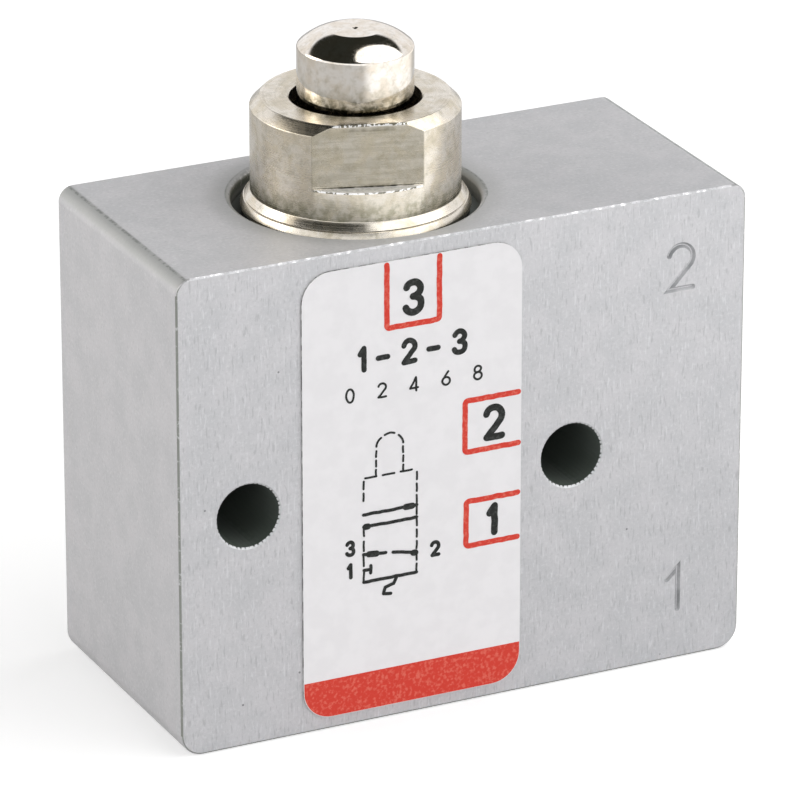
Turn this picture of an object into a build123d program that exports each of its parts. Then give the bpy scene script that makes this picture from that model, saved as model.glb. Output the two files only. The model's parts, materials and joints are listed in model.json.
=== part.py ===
from build123d import *
import os

# Plunger valve, a normally closed 3/2 poppet valve in a flat aluminium block.
# All sizes are in millimetres. The origin is the middle of the block's base, +X runs to the
# right along the front face, +Y runs into the depth and +Z runs up along the valve's axis.

# Running, sealing and threaded fits, as gaps on the radius
running_fit = 0.05
skirt_fit = 0.07
poppet_fit = 0.08
slip_fit = 0.02
seal_gap = 0.02
thread_gap = 0.05

# Stem and plunger
stem_radius = 2.0
nose_radius = 1.3
stem_bore_radius = 0.75
cross_hole_radius = 0.6
cross_hole_clearance = 0.6
stem_shoulder_clearance = 0.7
stroke = 3.0
stop_clearance = 0.05
plunger_wall = 0.7
plunger_projection = 3.3
crown_height = 1.1
crown_bulge = 0.16
crown_edge_radius = 0.3
cap_radius = 1.77
centre_mark_radius = 0.22
centre_mark_depth = 0.14
head_thickness = 1.0
flute_count = 3
flute_width = 2.0
flute_floor_step = 0.15

# Return spring round the stem
return_wire_radius = 0.25
return_spring_gap = 0.4
return_spring_length = 9.8
return_spring_turns = 7
recess_clearance = 0.15

# Springs and rings: closed end turns, and how finely wire and cord are drawn
closed_turns = 1
coil_gap = 0.03
runs_per_turn = 12
section_sides = 6

# Guide collar
exhaust_gap = 0.475
bore_edge_break = 0.12
collar_step = 0.775
shank_wall = 0.95
barrel_shoulder = 0.8
barrel_height = 6.2
collar_bore_length = 4.0
collar_chamfer = 0.65
flange_width = 0.65
flange_rim_height = 0.55
flange_cone_height = 0.65
flat_depth = 1.0
flat_ledge_height = 2.0
flat_angle = -17.6

# Gasket and retaining washer
gasket_thickness = 0.5
gasket_inset = 0.1
retainer_thickness = 0.7
retainer_gap = 0.15
retainer_edge_gap = 0.1

# Stem guide, with a pocket for the stem's ring and a groove for the guide's ring
guide_height = 3.4
pocket_depth = 1.4
guide_groove_rise = 0.7

# Rings: radius of the cord and width of the groove beside it
stem_cord_radius = 0.58
bore_cord_radius = 0.43
groove_play = 0.12

# Spacer cage between guide and seat
cage_height = 8.0
cage_wall = 1.4
cage_hole_rise = 5.7
cage_hole_count = 4
cage_groove_depth = 0.5
cage_groove_margin = 0.3

# Valve seat
seat_height = 3.6
seat_groove_rise = 1.2
seat_lead_in = 0.5
orifice_gap = 0.4
lip_width = 0.6
lip_height = 0.5

# Poppet
nose_gap = 1.2
disc_thickness = 1.2
disc_overlap = 0.15
cup_wall = 0.5
cup_depth = 0.9
poppet_flange_width = 0.45
poppet_flange_thickness = 0.7
poppet_notch_count = 4
poppet_notch_width = 1.6
boss_length = 1.4

# Poppet spring
poppet_wire_radius = 0.2
poppet_spring_gap = 0.1
poppet_boss_radius = 1.7
poppet_spring_length = 5.6
poppet_spring_turns = 5

# Block
base_wall = 4.0
thread_depth = 4.3
cartridge_shoulder = 1.0
counterbore_depth = 1.2
counterbore_gap = 0.6
counterbore_edge_radius = 0.45
side_wall = 1.25
top_corner_radius = 1.0
bottom_corner_radius = 1.5
edge_break = 0.12
left_margin = 4.8
hole_pitch = 22.8
right_margin = 12.4
mount_hole_radius = 2.15
axis_offset = 0.5

# Ports in the right face
port_radius = 2.1
port_depth = 6.0
port_countersink = 0.5
port_drill_angle = 59.0
passage_radius = 1.25
supply_rise = 6.4

# Label on the front face
label_thickness = 0.12
label_corner_radius = 2.0
label_hole_clearance = 1.55
label_top_margin = 1.07
label_bottom_margin = 0.87

# Heights of the stacked faces, from the base up
chamber_floor_z = base_wall
spring_seat_z = chamber_floor_z + poppet_spring_length
cup_floor_z = spring_seat_z + poppet_flange_thickness
disc_top_z = cup_floor_z + disc_thickness
seat_base_z = disc_top_z + lip_height
seat_top_z = seat_base_z + seat_height
cage_top_z = seat_top_z + cage_height
guide_top_z = cage_top_z + guide_height
retainer_top_z = guide_top_z + retainer_thickness
counterbore_floor_z = guide_top_z + thread_depth
block_height = counterbore_floor_z + counterbore_depth
flange_base_z = counterbore_floor_z + gasket_thickness
flange_top_z = flange_base_z + flange_rim_height + flange_cone_height
collar_top_z = flange_top_z + barrel_height
collar_step_z = collar_top_z - collar_bore_length
ledge_z = flange_top_z + flat_ledge_height
rim_z = collar_top_z + plunger_projection
cap_z = rim_z + crown_height
skirt_base_z = retainer_top_z + stroke + stop_clearance
recess_top_z = retainer_top_z + return_spring_length
stem_top_z = rim_z - head_thickness
nose_tip_z = disc_top_z + nose_gap
nose_top_z = seat_top_z + stroke + stem_shoulder_clearance
cross_hole_z = retainer_top_z + stroke + cross_hole_radius + cross_hole_clearance
supply_z = chamber_floor_z + supply_rise
outlet_z = seat_top_z + cage_hole_rise
mount_hole_z = (supply_z + outlet_z) / 2

# Radii about the valve's axis, from the stem out
return_coil_radius = stem_radius + return_spring_gap + return_wire_radius
recess_radius = return_coil_radius + return_wire_radius + recess_clearance
plunger_radius = recess_radius + plunger_wall
collar_bore_radius = plunger_radius + exhaust_gap
collar_cavity_radius = collar_bore_radius + collar_step
skirt_radius = collar_cavity_radius - skirt_fit
shank_radius = collar_cavity_radius + shank_wall
barrel_radius = shank_radius + barrel_shoulder
flange_radius = barrel_radius + flange_width
thread_radius = shank_radius + thread_gap
counterbore_radius = flange_radius + counterbore_gap
cartridge_radius = thread_radius - cartridge_shoulder
insert_radius = cartridge_radius - slip_fit
bore_groove_radius = cartridge_radius - 2 * (bore_cord_radius + seal_gap)
pocket_radius = stem_radius + 2 * (stem_cord_radius + seal_gap)
cage_bore_radius = insert_radius - cage_wall
orifice_radius = nose_radius + orifice_gap
lip_radius = orifice_radius + lip_width
disc_radius = lip_radius + disc_overlap
cup_bore_radius = disc_radius + slip_fit
cup_radius = cup_bore_radius + cup_wall
poppet_flange_radius = cup_radius + poppet_flange_width
chamber_radius = poppet_flange_radius + poppet_fit
poppet_coil_radius = poppet_boss_radius + poppet_spring_gap + poppet_wire_radius

# Places on the block
block_width = left_margin + hole_pitch + right_margin
block_depth = 2 * (counterbore_radius + side_wall)
front_y = -block_depth / 2
left_x = -block_width / 2
right_x = block_width / 2
hole_middle_x = left_x + left_margin + hole_pitch / 2
valve_axis_x = hole_middle_x + axis_offset
bore_groove_width = 2 * (bore_cord_radius + groove_play)


def turned(*profile):
    """A turned piece: a half profile of (radius, height) points revolved about the valve's axis."""
    return revolve(Plane.XZ * make_face(Polyline(*profile, close=True)), Axis.Z)


def ring(inner, outer, low, high):
    """A plain turned ring between two radii and two heights."""
    return turned((inner, low), (outer, low), (outer, high), (inner, high))


def bore(radius, low, high):
    """A round bore on the valve's axis."""
    return Pos(0, 0, (low + high) / 2) * Cylinder(radius, high - low)


def cross_bar(radius, from_x, to_x, height):
    """A round bar along X at a height, used as a drill."""
    return Pos((from_x + to_x) / 2, 0, height) * Rot(Y=90) * Cylinder(radius, to_x - from_x)


def seal_ring(cord_radius, inner, height):
    """A rubber ring in its seat. Its section has flats, as the squeezed cord has on shaft and bore."""
    middle = inner + seal_gap + cord_radius
    section = RegularPolygon(cord_radius, section_sides, major_radius=False, rotation=180 / section_sides)
    return revolve(Plane.XZ * Pos(middle, height) * section, Axis.Z)


def coil_spring(coil_radius, wire_radius, turns, low, high):
    """A compression spring with closed end turns, its wire drawn in short straight runs."""
    closed_rise = 2 * wire_radius + coil_gap
    open_turns = turns - 2 * closed_turns
    open_rise = (high - low - 2 * wire_radius - 2 * closed_turns * closed_rise) / open_turns
    points = []
    for step in range(turns * runs_per_turn + 1):
        turn = step / runs_per_turn
        opened = min(max(turn - closed_turns, 0), open_turns)
        rise = opened * open_rise + (turn - opened) * closed_rise
        direction = Vector(coil_radius, 0).rotate(Axis.Z, turn * 360)
        points.append(direction + Vector(0, 0, low + wire_radius + rise))
    path = Polyline(*points)
    wire_end = Plane(origin=path @ 0, x_dir=(0, 0, 1), z_dir=path % 0)
    section = wire_end * RegularPolygon(wire_radius, section_sides)
    return sweep(section, path, transition=Transition.RIGHT)


def port(height, inner_radius):
    """A threaded port in the right face, with the passage that leads to the valve's axis."""
    mouth_x = right_x - port_countersink
    tap_end_x = mouth_x - port_depth
    point_length = (port_radius - passage_radius) / tan_degrees(port_drill_angle)
    shape = cross_bar(port_radius, tap_end_x, right_x, height)
    countersink = Cone(port_radius, port_radius + port_countersink, port_countersink)
    shape += Pos(right_x - port_countersink / 2, 0, height) * Rot(Y=90) * countersink
    drill_point = Cone(passage_radius, port_radius, point_length)
    shape += Pos(tap_end_x - point_length / 2, 0, height) * Rot(Y=90) * drill_point
    shape += cross_bar(passage_radius, valve_axis_x + inner_radius / 2, tap_end_x, height)
    return shape


def tan_degrees(angle):
    """The tangent of an angle in degrees."""
    direction = Vector(1, 0).rotate(Axis.Z, angle)
    return direction.Y / direction.X


def make_body_block():
    """The aluminium block with its stepped bore, ports and mounting holes."""
    block = Pos(0, 0, block_height / 2) * Box(block_width, block_depth, block_height)
    corners = block.edges().filter_by(Axis.Y).sort_by(Axis.Z)
    block = fillet(corners[:2], bottom_corner_radius)
    block = fillet(block.edges().filter_by(Axis.Y).sort_by(Axis.Z)[-2:], top_corner_radius)
    block = chamfer(block.faces().filter_by(Axis.Y).edges(), edge_break)
    stepped_bore = turned(
        (0, chamber_floor_z),
        (chamber_radius, chamber_floor_z),
        (chamber_radius, seat_base_z),
        (cartridge_radius, seat_base_z),
        (cartridge_radius, guide_top_z),
        (thread_radius, guide_top_z),
        (thread_radius, counterbore_floor_z),
        (counterbore_radius, counterbore_floor_z),
        (counterbore_radius, block_height),
        (0, block_height),
    )
    block -= Pos(valve_axis_x, 0, 0) * stepped_bore
    mouth = block.faces().sort_by(Axis.Z)[-1].edges().filter_by(GeomType.CIRCLE)
    block = fillet(mouth.sort_by(SortBy.RADIUS)[-1], counterbore_edge_radius)
    block -= port(supply_z, chamber_radius)
    block -= port(outlet_z, cartridge_radius)
    for side in (-1, 1):
        drill = Rot(X=90) * Cylinder(mount_hole_radius, 2 * block_depth)
        block -= Pos(hole_middle_x + side * hole_pitch / 2, 0, mount_hole_z) * drill
    return block


def make_seat_insert():
    """The brass seat: grooved outside, with an orifice and a raised lip towards the poppet."""
    groove_z = seat_base_z + seat_groove_rise
    seat = turned(
        (orifice_radius, disc_top_z),
        (lip_radius, disc_top_z),
        (lip_radius, seat_base_z),
        (insert_radius, seat_base_z),
        (insert_radius, seat_top_z),
        (orifice_radius + seat_lead_in, seat_top_z),
        (orifice_radius, seat_top_z - seat_lead_in),
    )
    return seat - ring(bore_groove_radius, cartridge_radius, groove_z, groove_z + bore_groove_width)


def make_seat_oring():
    """The ring in the seat's groove."""
    height = seat_base_z + seat_groove_rise + bore_groove_width / 2
    return seal_ring(bore_cord_radius, bore_groove_radius, height)


def make_spacer_cage():
    """The sleeve between seat and guide: a groove outside, and cross holes to the outlet."""
    cage = ring(cage_bore_radius, insert_radius, seat_top_z, cage_top_z)
    groove_floor = insert_radius - cage_groove_depth
    half_groove = passage_radius + cage_groove_margin
    cage -= ring(groove_floor, cartridge_radius, outlet_z - half_groove, outlet_z + half_groove)
    for turn in range(cage_hole_count):
        drill = cross_bar(passage_radius, 0, cartridge_radius, outlet_z)
        cage -= Rot(Z=turn * 360 / cage_hole_count) * drill
    return cage


def make_stem_guide():
    """The guide bush of the stem, with a ring groove outside and a ring pocket on top."""
    bush = ring(stem_radius + running_fit, insert_radius, cage_top_z, guide_top_z)
    groove_z = cage_top_z + guide_groove_rise
    bush -= ring(bore_groove_radius, cartridge_radius, groove_z, groove_z + bore_groove_width)
    return bush - bore(pocket_radius, guide_top_z - pocket_depth, guide_top_z)


def make_guide_oring():
    """The ring in the guide's outer groove."""
    height = cage_top_z + guide_groove_rise + bore_groove_width / 2
    return seal_ring(bore_cord_radius, bore_groove_radius, height)


def make_stem_oring():
    """The ring that seals the sliding stem, in the guide's pocket."""
    return seal_ring(stem_cord_radius, stem_radius, guide_top_z - pocket_depth / 2)


def make_seal_retainer():
    """The washer over the stem's ring, clamped under the collar."""
    outer = thread_radius - retainer_edge_gap
    return ring(stem_radius + retainer_gap, outer, guide_top_z, retainer_top_z)


def make_collar_gasket():
    """The flat sealing ring under the collar's flange."""
    inner = shank_radius + gasket_inset
    return ring(inner, flange_radius - gasket_inset, counterbore_floor_z, flange_base_z)


def make_guide_collar():
    """The collar: threaded shank, conical flange, and a barrel with two wrench flats."""
    collar = turned(
        (collar_cavity_radius, retainer_top_z),
        (shank_radius, retainer_top_z),
        (shank_radius, flange_base_z),
        (flange_radius, flange_base_z),
        (flange_radius, flange_top_z - flange_cone_height),
        (barrel_radius, flange_top_z),
        (barrel_radius, collar_top_z - collar_chamfer),
        (barrel_radius - collar_chamfer, collar_top_z),
        (collar_bore_radius + bore_edge_break, collar_top_z),
        (collar_bore_radius, collar_top_z - bore_edge_break),
        (collar_bore_radius, collar_step_z),
        (collar_cavity_radius, collar_step_z),
    )
    flat_y = barrel_radius - flat_depth
    flat_height = collar_top_z - ledge_z
    for half_turn in (0, 180):
        cutter = Pos(0, -flat_y - flat_depth, ledge_z + flat_height / 2) * Box(
            2 * barrel_radius, 2 * flat_depth, flat_height
        )
        collar -= Rot(Z=flat_angle + half_turn) * cutter
    return collar


def make_plunger():
    """The plunger: crowned head, fluted skirt, spring recess and a blind bore for the stem."""
    rim = (plunger_radius, rim_z)
    cap_edge = (cap_radius, cap_z)
    flank = SagittaArc(rim, cap_edge, -crown_bulge)
    rest = Polyline(
        cap_edge,
        (centre_mark_radius, cap_z),
        (0, cap_z - centre_mark_depth),
        (0, stem_top_z),
        (stem_radius, stem_top_z),
        (stem_radius, recess_top_z),
        (recess_radius, recess_top_z),
        (recess_radius, skirt_base_z),
        (skirt_radius, skirt_base_z),
        (skirt_radius, collar_step_z),
        (plunger_radius, collar_step_z),
        rim,
    )
    profile = make_face(flank + rest)
    rim_corner = profile.vertices().sort_by_distance(rim)[0]
    profile = fillet(rim_corner, crown_edge_radius)
    plunger = revolve(Plane.XZ * profile, Axis.Z)
    flute_floor = plunger_radius + flute_floor_step
    flute_depth = skirt_radius - flute_floor
    skirt_height = collar_step_z - skirt_base_z
    for turn in range(flute_count):
        flute = Pos(flute_floor + flute_depth, 0, skirt_base_z + skirt_height / 2) * Box(
            2 * flute_depth, flute_width, skirt_height
        )
        plunger -= Rot(Z=turn * 360 / flute_count) * flute
    return plunger


def make_valve_stem():
    """The hollow stem: a nose that closes the exhaust, and cross holes into the recess."""
    stem = turned(
        (0, nose_tip_z),
        (nose_radius, nose_tip_z),
        (nose_radius, nose_top_z),
        (stem_radius, nose_top_z),
        (stem_radius, stem_top_z),
        (0, stem_top_z),
    )
    stem -= bore(stem_bore_radius, nose_tip_z, cross_hole_z + cross_hole_radius)
    return stem - cross_bar(cross_hole_radius, -2 * stem_radius, 2 * stem_radius, cross_hole_z)


def make_poppet_carrier():
    """The poppet's carrier: a cup for the disc, a notched guide flange and a spring boss."""
    carrier = turned(
        (0, spring_seat_z - boss_length),
        (poppet_boss_radius, spring_seat_z - boss_length),
        (poppet_boss_radius, spring_seat_z),
        (poppet_flange_radius, spring_seat_z),
        (poppet_flange_radius, cup_floor_z),
        (cup_radius, cup_floor_z),
        (cup_radius, cup_floor_z + cup_depth),
        (cup_bore_radius, cup_floor_z + cup_depth),
        (cup_bore_radius, cup_floor_z),
        (0, cup_floor_z),
    )
    notch_middle_z = (spring_seat_z + cup_floor_z) / 2
    for turn in range(poppet_notch_count):
        notch = Pos(cup_radius + poppet_flange_width, 0, notch_middle_z) * Box(
            2 * poppet_flange_width, poppet_notch_width, poppet_flange_thickness
        )
        carrier -= Rot(Z=turn * 360 / poppet_notch_count) * notch
    return carrier


def make_poppet_disc():
    """The rubber disc that the lip of the seat and the nose of the stem close on."""
    return bore(disc_radius, cup_floor_z, disc_top_z)


def make_return_spring():
    """The spring between the retaining washer and the plunger."""
    return coil_spring(
        return_coil_radius, return_wire_radius, return_spring_turns, retainer_top_z, recess_top_z
    )


def make_poppet_spring():
    """The spring between the floor of the supply chamber and the carrier."""
    return coil_spring(
        poppet_coil_radius, poppet_wire_radius, poppet_spring_turns, chamber_floor_z, spring_seat_z
    )


def make_front_label():
    """The vinyl label between the mounting holes."""
    width = hole_pitch - 2 * (mount_hole_radius + label_hole_clearance)
    height = block_height - label_top_margin - label_bottom_margin
    outline = RectangleRounded(width, height, label_corner_radius)
    face = Plane.XZ * Pos(hole_middle_x, label_bottom_margin + height / 2) * outline
    return Pos(0, front_y, 0) * extrude(face, label_thickness)


def save(name, piece):
    """Writes one piece to its own file."""
    piece.label = name
    export_step(piece, f"parts/{name}.step")


os.makedirs("parts", exist_ok=True)
on_axis = Pos(valve_axis_x, 0, 0)
save("body_block", make_body_block())
save("front_label", make_front_label())
save("guide_collar", on_axis * make_guide_collar())
save("plunger", on_axis * make_plunger())
save("valve_stem", on_axis * make_valve_stem())
save("return_spring", on_axis * make_return_spring())
save("seal_retainer", on_axis * make_seal_retainer())
save("collar_gasket", on_axis * make_collar_gasket())
save("stem_guide", on_axis * make_stem_guide())
save("stem_oring", on_axis * make_stem_oring())
save("guide_oring", on_axis * make_guide_oring())
save("spacer_cage", on_axis * make_spacer_cage())
save("seat_insert", on_axis * make_seat_insert())
save("seat_oring", on_axis * make_seat_oring())
save("poppet_disc", on_axis * make_poppet_disc())
save("poppet_carrier", on_axis * make_poppet_carrier())
save("poppet_spring", on_axis * make_poppet_spring())
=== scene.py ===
# %% [markdown]
# A plunger valve is a small pneumatic switch. An aluminium block holds two threaded ports and
# a stepped bore, a nickel-plated brass collar closes the bore, and a polished plunger stands
# out of the collar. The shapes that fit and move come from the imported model. This script gives
# them their finishes and adds the print, the stamped numbers, the port threads and the springs.

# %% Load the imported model
import json
import math

import bmesh
import bpy
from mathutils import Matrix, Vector, noise


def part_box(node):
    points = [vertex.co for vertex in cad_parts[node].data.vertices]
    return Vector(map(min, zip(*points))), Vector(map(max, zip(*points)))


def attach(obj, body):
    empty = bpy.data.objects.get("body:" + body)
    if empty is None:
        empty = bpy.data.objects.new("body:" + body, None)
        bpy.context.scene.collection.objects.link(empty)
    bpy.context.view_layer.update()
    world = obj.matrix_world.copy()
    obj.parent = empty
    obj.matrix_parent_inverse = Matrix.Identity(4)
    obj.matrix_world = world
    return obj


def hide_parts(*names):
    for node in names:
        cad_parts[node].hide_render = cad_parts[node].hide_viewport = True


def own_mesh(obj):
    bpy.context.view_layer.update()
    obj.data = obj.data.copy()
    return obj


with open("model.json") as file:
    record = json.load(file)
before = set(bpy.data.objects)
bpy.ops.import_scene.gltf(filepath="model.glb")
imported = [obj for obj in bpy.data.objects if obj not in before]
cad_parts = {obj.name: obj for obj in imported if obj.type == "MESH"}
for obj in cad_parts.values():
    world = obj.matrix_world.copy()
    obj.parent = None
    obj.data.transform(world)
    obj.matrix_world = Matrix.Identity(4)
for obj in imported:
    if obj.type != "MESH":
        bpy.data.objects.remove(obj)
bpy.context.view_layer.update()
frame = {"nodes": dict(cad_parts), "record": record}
nodes = frame["nodes"]
MM = 0.001

# %% [markdown]
# Some sizes that the looks share with the solids are read from the solids' own boxes and from the
# model's record, so the pieces made here follow them. The others are given as numbers. The valve's
# axis runs up through the middle of the collar.

# %% Sizes read from the model
block_low, block_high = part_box("body_block")
label_low, label_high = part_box("front_label")
collar_low, collar_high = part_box("guide_collar")
plunger_low, plunger_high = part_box("plunger")
axis_x = (collar_low.x + collar_high.x) / 2
front_y = block_low.y
mounts = {mount["name"]: mount for mount in frame["record"]["mounts"]}
hole_mount = mounts["mounting_holes"]
hole_radius = hole_mount["dims"]["hole_r_mm"] * MM
hole_half_pitch = hole_mount["dims"]["spacing_x_mm"] * MM / 2
hole_middle = Vector(hole_mount["pos_m"])
print("block in mm:", [round(size / MM, 2) for size in block_high - block_low])

# %% [markdown]
# The camera stands to the left of the valve and looks down on it, as in the photograph. It is
# far off with a long lens, so the block's edges hardly converge. The values come from fitting
# the block's corners, the holes and the collar's rings to the photograph.

# %% Camera
scene = bpy.context.scene
view_azimuth = math.radians(25.8)
view_elevation = math.radians(22.4)
view_distance = 434.0 * MM
view_target = Vector((-0.16, 0.0, 17.63)) * MM
focal_pixels = 6697.0
image_pixels = 800


def around(azimuth, elevation):
    """A direction by its azimuth from the camera's side, to the right, and its elevation."""
    turn = azimuth - view_azimuth
    level = math.cos(elevation)
    return Vector((math.sin(turn) * level, -math.cos(turn) * level, math.sin(elevation)))


towards_camera = around(0, view_elevation)
camera = bpy.data.objects.new("camera", bpy.data.cameras.new("camera"))
scene.collection.objects.link(camera)
camera.location = view_target + towards_camera * view_distance
camera.rotation_euler = (-towards_camera).to_track_quat("-Z", "Y").to_euler()
camera.data.sensor_width = 36.0
camera.data.lens = camera.data.sensor_width * focal_pixels / image_pixels
camera.data.clip_start = 0.01
scene.camera = camera
scene.view_settings.view_transform = "Standard"
print("lens in mm:", round(camera.data.lens, 1))

# %% [markdown]
# Colours are written as hex codes, the way a paint or print shop gives them. Shaders work in
# linear light, so one function turns them. Another adds a node with its settings and links,
# which keeps each finish short enough to read as a recipe.

# %% Helpers for materials
def linear(code, alpha=1.0):
    """The linear colour of an sRGB hex code."""
    parts = [int(code[i:i + 2], 16) / 255 for i in (1, 3, 5)]
    return [p / 12.92 if p <= 0.04045 else ((p + 0.055) / 1.055) ** 2.4 for p in parts] + [alpha]


def add(tree, kind, inputs=None, out=0, **settings):
    """Adds a node and gives one of its outputs. Each input is a value or another node's output."""
    node = tree.nodes.new("ShaderNode" + kind)
    for name, value in settings.items():
        setattr(node, name, value)
    for socket, value in (inputs or {}).items():
        if isinstance(value, bpy.types.NodeSocket):
            tree.links.new(value, node.inputs[socket])
        else:
            node.inputs[socket].default_value = value
    return node.outputs[out]


soft = {"interpolation_type": "SMOOTHSTEP"}
colour = {"data_type": "RGBA", "out": 2}
times = {"operation": "MULTIPLY"}


def new_material(name, **shader_values):
    """A material with one Principled shader, its constant values set on the shader itself."""
    material = bpy.data.materials.new(name)
    material.use_nodes = True
    shader = material.node_tree.nodes["Principled BSDF"]
    for socket, value in shader_values.items():
        shader.inputs[socket.replace("_", " ")].default_value = value
    return material, material.node_tree, shader


def dress(piece, material):
    """Gives a piece its one finish."""
    piece.data.materials.clear()
    piece.data.materials.append(material)


# %% [markdown]
# The studio is a plain product table. The walls are pale up to about a third of the way to the
# zenith, and brighter in front of the valve than behind it. The ceiling is dark, and it matters:
# polished nickel shows it as the black shape on the crown. One big round lamp hangs on the right
# and makes the bright shape beside the black one. A small low lamp lifts the left side.

# %% Room
world = bpy.data.worlds.new("studio")
scene.world = world
world.use_nodes = True
tree = world.node_tree
direction = add(tree, "TexCoord", out="Generated")
height = add(tree, "SeparateXYZ", {0: direction}, out="Z")
wall_top, ceiling_start = math.sin(math.radians(33)), math.sin(math.radians(38))
ceiling = add(tree, "MapRange", {0: height, 1: wall_top, 2: ceiling_start}, **soft)
forward = add(tree, "VectorMath", {0: direction, 1: around(0, 0)}, out="Value", operation="DOT_PRODUCT")
in_front = add(tree, "MapRange", {0: forward, 1: -0.3, 2: 0.4}, **soft)
walls = add(tree, "Mix", {0: in_front, 6: (1.06, 1.06, 1.08, 1), 7: (1.29, 1.3, 1.32, 1)}, **colour)
studio = add(tree, "Mix", {0: ceiling, 6: walls, 7: linear("#2C2D28")}, **colour)
seen = add(tree, "LightPath", out="Is Camera Ray")
shown = add(tree, "Mix", {0: seen, 6: studio, 7: (1, 1, 1, 1)}, **colour)
tree.links.new(shown, tree.nodes["Background"].inputs["Color"])


# %% Lamps
lamp_distance = 0.5


def round_lamp(name, azimuth, elevation, spread, radiance, tint=(1, 1, 1)):
    """A round lamp aimed at the valve. Its place and its half width are given as angles."""
    out = around(math.radians(azimuth), math.radians(elevation))
    lamp = bpy.data.objects.new(name, bpy.data.lights.new(name, "AREA"))
    radius = lamp_distance * math.tan(math.radians(spread))
    lamp.data.shape = "DISK"
    lamp.data.size = 2 * radius
    lamp.data.color = tint
    lamp.data.energy = radiance * math.pi * math.pi * radius ** 2
    lamp.location = view_target + out * lamp_distance
    lamp.rotation_euler = (-out).to_track_quat("-Z", "Y").to_euler()
    scene.collection.objects.link(lamp)
    return lamp


round_lamp("lamp_right", 81, 56, 33.5, 1.85)
round_lamp("lamp_left", -92, 22, 20, 2.15, (1, 0.95, 0.89))

# %% [markdown]
# The floor is a plain white sheet. Part of its light is added only for what the camera sees, so
# that it reads as white while it still takes the valve's soft shadow. On the right it glows with a
# painted pool of light that only reflections see, with no lamp there, and that gives the collar
# its bright right side.

# %% Floor
floor_half = 1.5
floor_mesh = bpy.data.meshes.new("floor")
floor_mesh.from_pydata([(-floor_half, -floor_half, 0), (floor_half, -floor_half, 0),
                        (floor_half, floor_half, 0), (-floor_half, floor_half, 0)], [], [(0, 1, 2, 3)])
floor = bpy.data.objects.new("floor", floor_mesh)
floor.location.z = -0.02 * MM
scene.collection.objects.link(floor)
floor_paper, tree, shader = new_material("white_paper", Roughness=0.9)
shader.inputs["Base Color"].default_value = linear("#D8D8D8")
shader.inputs["Emission Color"].default_value = (1, 1, 1, 1)
place = add(tree, "TexCoord", out="Object")
# A painted pool of light on the right of the floor, which only reflections see.
rightward = add(tree, "VectorMath", {0: place, 1: around(math.radians(80), 0)}, out="Value", operation="DOT_PRODUCT")
painted_light_pool = add(tree, "MapRange", {0: rightward, 1: 40 * MM, 2: 85 * MM, 4: 0.7}, **soft)
painted_light_pool = add(tree, "Math", {0: painted_light_pool, 1: add(tree, "LightPath", out="Is Glossy Ray")}, **times)
viewed = add(tree, "Math", {0: add(tree, "LightPath", out="Is Camera Ray"), 1: 0.46}, **times)
glow = add(tree, "Math", {0: viewed, 1: painted_light_pool}, operation="ADD")
tree.links.new(glow, shader.inputs["Emission Strength"])
floor_mesh.materials.append(floor_paper)

# %% [markdown]
# The print is a layer of ink with a real thickness, laid on the label. Every line and figure is
# a pen stroke: a path, widened to both sides, rounded at its ends and given a depth. The same
# strokes serve twice, because the numbers stamped in the metal are strokes too, pressed in.

# %% Paths
def arc(middle, radii, start, end, steps=16):
    """Points along an elliptic arc, from one angle to another in degrees."""
    turns = [math.radians(start + (end - start) * i / steps) for i in range(steps + 1)]
    return [Vector((middle[0] + radii[0] * math.cos(t), middle[1] + radii[1] * math.sin(t))) for t in turns]


def eased(points, radius, steps=5):
    """A path whose inner corners are rounded, as a pen or a tool leaves them."""
    points = [Vector(point) for point in points]
    path = [points[0]]
    for before, corner, after in zip(points, points[1:], points[2:]):
        back, ahead = (before - corner).normalized(), (after - corner).normalized()
        half = math.acos(max(-1, min(1, back.dot(ahead)))) / 2
        reach = radius / math.tan(half)
        middle = corner + (back + ahead).normalized() * radius / math.sin(half)
        start, end = corner + back * reach - middle, corner + ahead * reach - middle
        for i in range(steps + 1):
            path.append(middle + (start * (1 - i / steps) + end * (i / steps)).normalized() * radius)
    return path + [points[-1]]


# %% Strokes
cap_steps = 6


def sideways(points, closed):
    """For each point of a path, the step to its left that keeps the stroke's width in a bend."""
    steps = []
    last = len(points) - 1
    for i, point in enumerate(points):
        sides = []
        if closed or i > 0:
            sides.append((point - points[i - 1]).normalized())
        if closed or i < last:
            sides.append((points[(i + 1) % len(points)] - point).normalized())
        sides = [Vector((-run.y, run.x)) for run in sides]
        middle = sum(sides, Vector((0, 0))).normalized()
        steps.append(middle / max(middle.dot(sides[0]), 0.35))
    return steps


def add_stroke(mesh, points, widths, depths, closed=False):
    """Adds one solid stroke to a mesh. Widths and depths are those of its front and its back."""
    points = [Vector(point) for point in points]
    steps = sideways(points, closed)
    layers = []
    for width, depth in zip(widths, depths):
        def at(point):
            return mesh.verts.new((point.x, depth, point.y))
        left = [at(p + s * width / 2) for p, s in zip(points, steps)]
        right = [at(p - s * width / 2) for p, s in zip(points, steps)]
        caps = []
        if not closed:
            for point, step, sign in ((points[-1], steps[-1], 1), (points[0], steps[0], -1)):
                side = step.normalized() * width / 2 * sign
                ahead = Vector((side.y, -side.x))
                turns = [math.pi * i / cap_steps for i in range(1, cap_steps)]
                caps.append([at(point + side * math.cos(t) + ahead * math.sin(t)) for t in turns])
        layers.append((left, right, caps))
    front, back = layers
    count = len(points)
    for i in range(count if closed else count - 1):
        j = (i + 1) % count
        for left, right, _ in layers:
            mesh.faces.new((left[i], right[i], right[j], left[j]))
        if closed:
            for side in (0, 1):
                mesh.faces.new((front[side][i], front[side][j], back[side][j], back[side][i]))
    if not closed:
        rims = []
        for left, right, (end_cap, start_cap) in layers:
            mesh.faces.new([left[-1]] + end_cap + [right[-1]])
            mesh.faces.new([right[0]] + start_cap + [left[0]])
            rims.append(left + end_cap + right[::-1] + start_cap)
        for i in range(len(rims[0])):
            j = (i + 1) % len(rims[0])
            mesh.faces.new((rims[0][i], rims[0][j], rims[1][j], rims[1][i]))


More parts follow.
